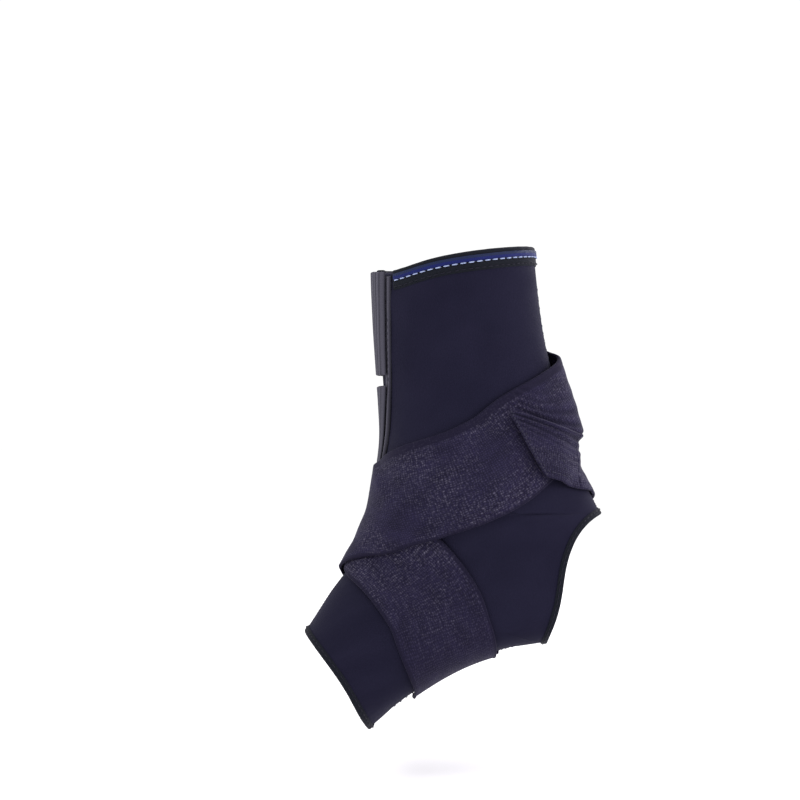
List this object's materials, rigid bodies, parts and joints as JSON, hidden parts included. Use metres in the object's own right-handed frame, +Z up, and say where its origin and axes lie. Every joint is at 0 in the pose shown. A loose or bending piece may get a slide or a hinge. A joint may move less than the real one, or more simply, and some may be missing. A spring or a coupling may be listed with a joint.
{
  "type": "ankle support wrap",
  "caption": "Open-heel neoprene ankle sleeve with a ribbed front closure and an elastic figure-of-eight strap, in its worn shape.",
  "frame": {"origin": "centre of the ankle joint that the support is worn on", "axes": "+Z up along the leg, -X towards the toes (the foot points forward and down, heel raised), -Y the inner side of a right ankle"},
  "size_m": [0.1436, 0.0922, 0.2303],
  "materials": {
    "neoprene": "matte jersey-faced neoprene",
    "seam_tape": "smooth bonded tape",
    "binding": "matte folded tape",
    "blue_stripe": "satin woven braid",
    "pale_thread": "sewing thread",
    "ribbed_elastic": "ribbed elastic",
    "strap_elastic": "knitted elastic webbing",
    "hook_tape": "moulded hooks",
    "loop_tape": "napped loops",
    "dark_thread": "sewing thread"
  },
  "bodies": {
    "sleeve": {"medial_panel": "neoprene", "lateral_panel": "neoprene", "back_seam_tape": "seam_tape", "sole_seam_tape": "seam_tape", "instep_seam_tape": "seam_tape", "top_binding": "binding", "top_blue_stripe": "blue_stripe", "top_stitch_thread": "pale_thread", "heel_binding": "binding", "forefoot_binding": "binding", "closure_base_strip": "ribbed_elastic", "closure_loop_panel": "loop_tape", "medial_strap": "strap_elastic", "lateral_strap": "strap_elastic", "strap_anchor_stitch": "dark_thread"},
    "upper_flap": {"upper_flap": "ribbed_elastic", "upper_flap_hook": "hook_tape"},
    "lower_flap": {"lower_flap": "ribbed_elastic", "lower_flap_hook": "hook_tape"},
    "medial_strap_end": {"medial_strap_end": "strap_elastic", "medial_strap_hook": "hook_tape"},
    "lateral_strap_end": {"lateral_strap_end": "strap_elastic", "lateral_strap_hook": "hook_tape"}
  },
  "joints": [
    {"name": "upper_flap_hinge", "type": "hinge", "parent": "sleeve", "child": "upper_flap", "pos_m": [-0.04568, -0.01894, 0.08652], "axis": [-0.0095, -0.0806, 0.9967], "range_deg": [0, 150]},
    {"name": "lower_flap_hinge", "type": "hinge", "parent": "sleeve", "child": "lower_flap", "pos_m": [-0.04663, -0.01192, 0.04246], "axis": [0.0691, -0.2538, 0.9648], "range_deg": [0, 150]},
    {"name": "lateral_strap_peel", "type": "hinge", "parent": "sleeve", "child": "lateral_strap_end", "pos_m": [0.04205, 0.01021, 0.05546], "axis": [-0.016, 0.3762, -0.9264], "range_deg": [0, 150]},
    {"name": "medial_strap_peel", "type": "hinge", "parent": "sleeve", "child": "medial_strap_end", "pos_m": [0.04969, -0.01371, 0.02391], "axis": [0.044, 0.3184, 0.9469], "range_deg": [0, 150]}
  ]
}
